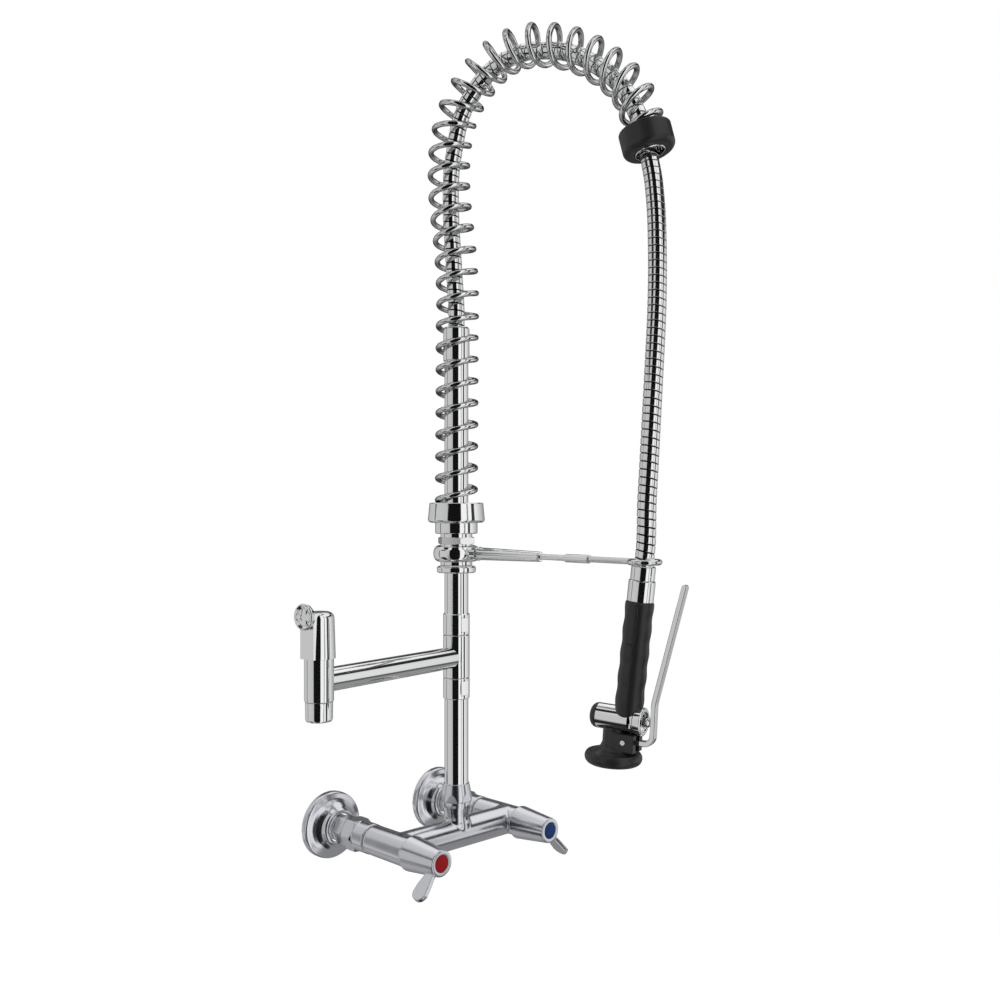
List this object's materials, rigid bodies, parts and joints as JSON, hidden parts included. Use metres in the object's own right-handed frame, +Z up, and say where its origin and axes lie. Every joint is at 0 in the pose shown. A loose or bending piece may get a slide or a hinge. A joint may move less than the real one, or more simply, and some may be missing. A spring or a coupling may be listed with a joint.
{
  "type": "pre-rinse faucet",
  "caption": "Wall-mounted pre-rinse faucet: two-handle mixer, riser with swinging pot filler, overhead coil spring with ribbed hose, hook arm and trigger spray gun.",
  "frame": {"origin": "the point of the wall's face midway between the two inlets", "axes": "+Y into the wall, so the faucet stands out towards -Y; +Z up along the riser; the hot inlet is at -X and the cold inlet at +X"},
  "size_m": [0.3221, 0.4204, 0.852],
  "materials": {
    "chrome": "polished chrome plate",
    "satin_chrome": "soft satin chrome plate",
    "steel": "bright stainless steel",
    "brass": "machined brass",
    "rubber": "matt black rubber",
    "black_plastic": "matt black moulded plastic",
    "ceramic": "polished white ceramic",
    "nylon": "plain off-white plastic",
    "red": "glossy red plastic",
    "blue": "glossy blue plastic"
  },
  "bodies": {
    "breech": {"wall_flanges": "satin_chrome", "inlet_connectors": "satin_chrome", "sealing_washers": "rubber", "check_valves": "nylon", "union_nuts": "satin_chrome", "mixer_body": "satin_chrome", "cartridge_bodies": "brass", "fixed_discs": "ceramic", "riser_nut": "satin_chrome", "riser_tube": "chrome", "swivel_collars": "chrome", "swivel_core": "brass", "core_orings": "rubber", "upper_tube": "chrome", "stop_nut": "chrome", "thrust_washer": "nylon"},
    "hot": {"hot_handle": "satin_chrome", "hot_spindle": "brass", "hot_screw": "steel", "hot_index": "red"},
    "cold": {"cold_handle": "satin_chrome", "cold_spindle": "brass", "cold_screw": "steel", "cold_index": "blue"},
    "pot_arm": {"swivel_tee": "chrome", "arm_tube": "chrome", "spout_body": "chrome", "spout_hood": "chrome", "spout_valve": "brass", "aerator_housing": "chrome", "aerator_insert": "nylon"},
    "pot_knob": {"spout_knob": "chrome", "knob_spindle": "steel"},
    "overhead": {"swivel_sleeve": "chrome", "sleeve_bushes": "nylon", "hook_boss": "chrome", "boss_nut": "chrome", "hook_stem": "chrome", "hook_coupling": "chrome", "hook_ring": "steel", "spring_collar": "chrome", "overhead_spring": "steel", "spring_bumper": "rubber", "bumper_bush": "chrome", "hose": "steel", "hose_nut": "chrome", "hose_end_ferrule": "chrome"},
    "gun": {"gun_handle_tube": "chrome", "gun_grip": "rubber", "gun_body": "chrome", "gun_end_cap": "black_plastic", "gland_nut": "chrome", "nozzle_skirt": "black_plastic", "nozzle_bumper": "rubber", "spray_plate": "steel", "pivot_pin": "steel", "return_spring": "steel"},
    "lever": {"gun_lever": "chrome"},
    "stem": {"valve_stem": "steel", "valve_disc": "rubber"}
  },
  "joints": [
    {"name": "hot_tap", "type": "hinge", "parent": "breech", "child": "hot", "pos_m": [-0.075, -0.15, 0], "axis": [0, 1, 0], "range_deg": [0, 90]},
    {"name": "cold_tap", "type": "hinge", "parent": "breech", "child": "cold", "pos_m": [0.075, -0.15, 0], "axis": [0, -1, 0], "range_deg": [0, 90]},
    {"name": "pot_arm_swing", "type": "hinge", "parent": "breech", "child": "pot_arm", "pos_m": [0, -0.12, 0.1825], "axis": [0, 0, 1], "range_deg": [-30, 40]},
    {"name": "pot_knob_turn", "type": "hinge", "parent": "pot_arm", "child": "pot_knob", "pos_m": [-0.19093, -0.14819, 0.2414], "axis": [-0.9893, -0.1461, 0], "range_deg": [0, 90]},
    {"name": "overhead_swivel", "type": "hinge", "parent": "breech", "child": "overhead", "pos_m": [0, -0.12, 0.3], "axis": [0, 0, 1], "range_deg": [-20, 100]},
    {"name": "gun_swivel", "type": "hinge", "parent": "overhead", "child": "gun", "pos_m": [0, -0.3654, 0.2874], "axis": [0.0307, -0.1072, 0.9938], "range_deg": [-90, 90]},
    {"name": "lever_squeeze", "type": "hinge", "parent": "gun", "child": "lever", "pos_m": [-0.00435, -0.35024, 0.13225], "axis": [-0.9613, -0.2756, 0], "range_deg": [0, 9], "stiffness_Nm_per_rad": 4, "springref_deg": -5.73},
    {"name": "valve_travel", "type": "slide", "parent": "gun", "child": "stem", "axis": [-0.2753, 0.9599, 0.0523], "range_m": [0, 0.0028], "deforming": ["return_spring"]}
  ],
  "couplings": [
    {"joint": "valve_travel", "follows": "lever_squeeze", "m_per_rad": 0.0174}
  ]
}
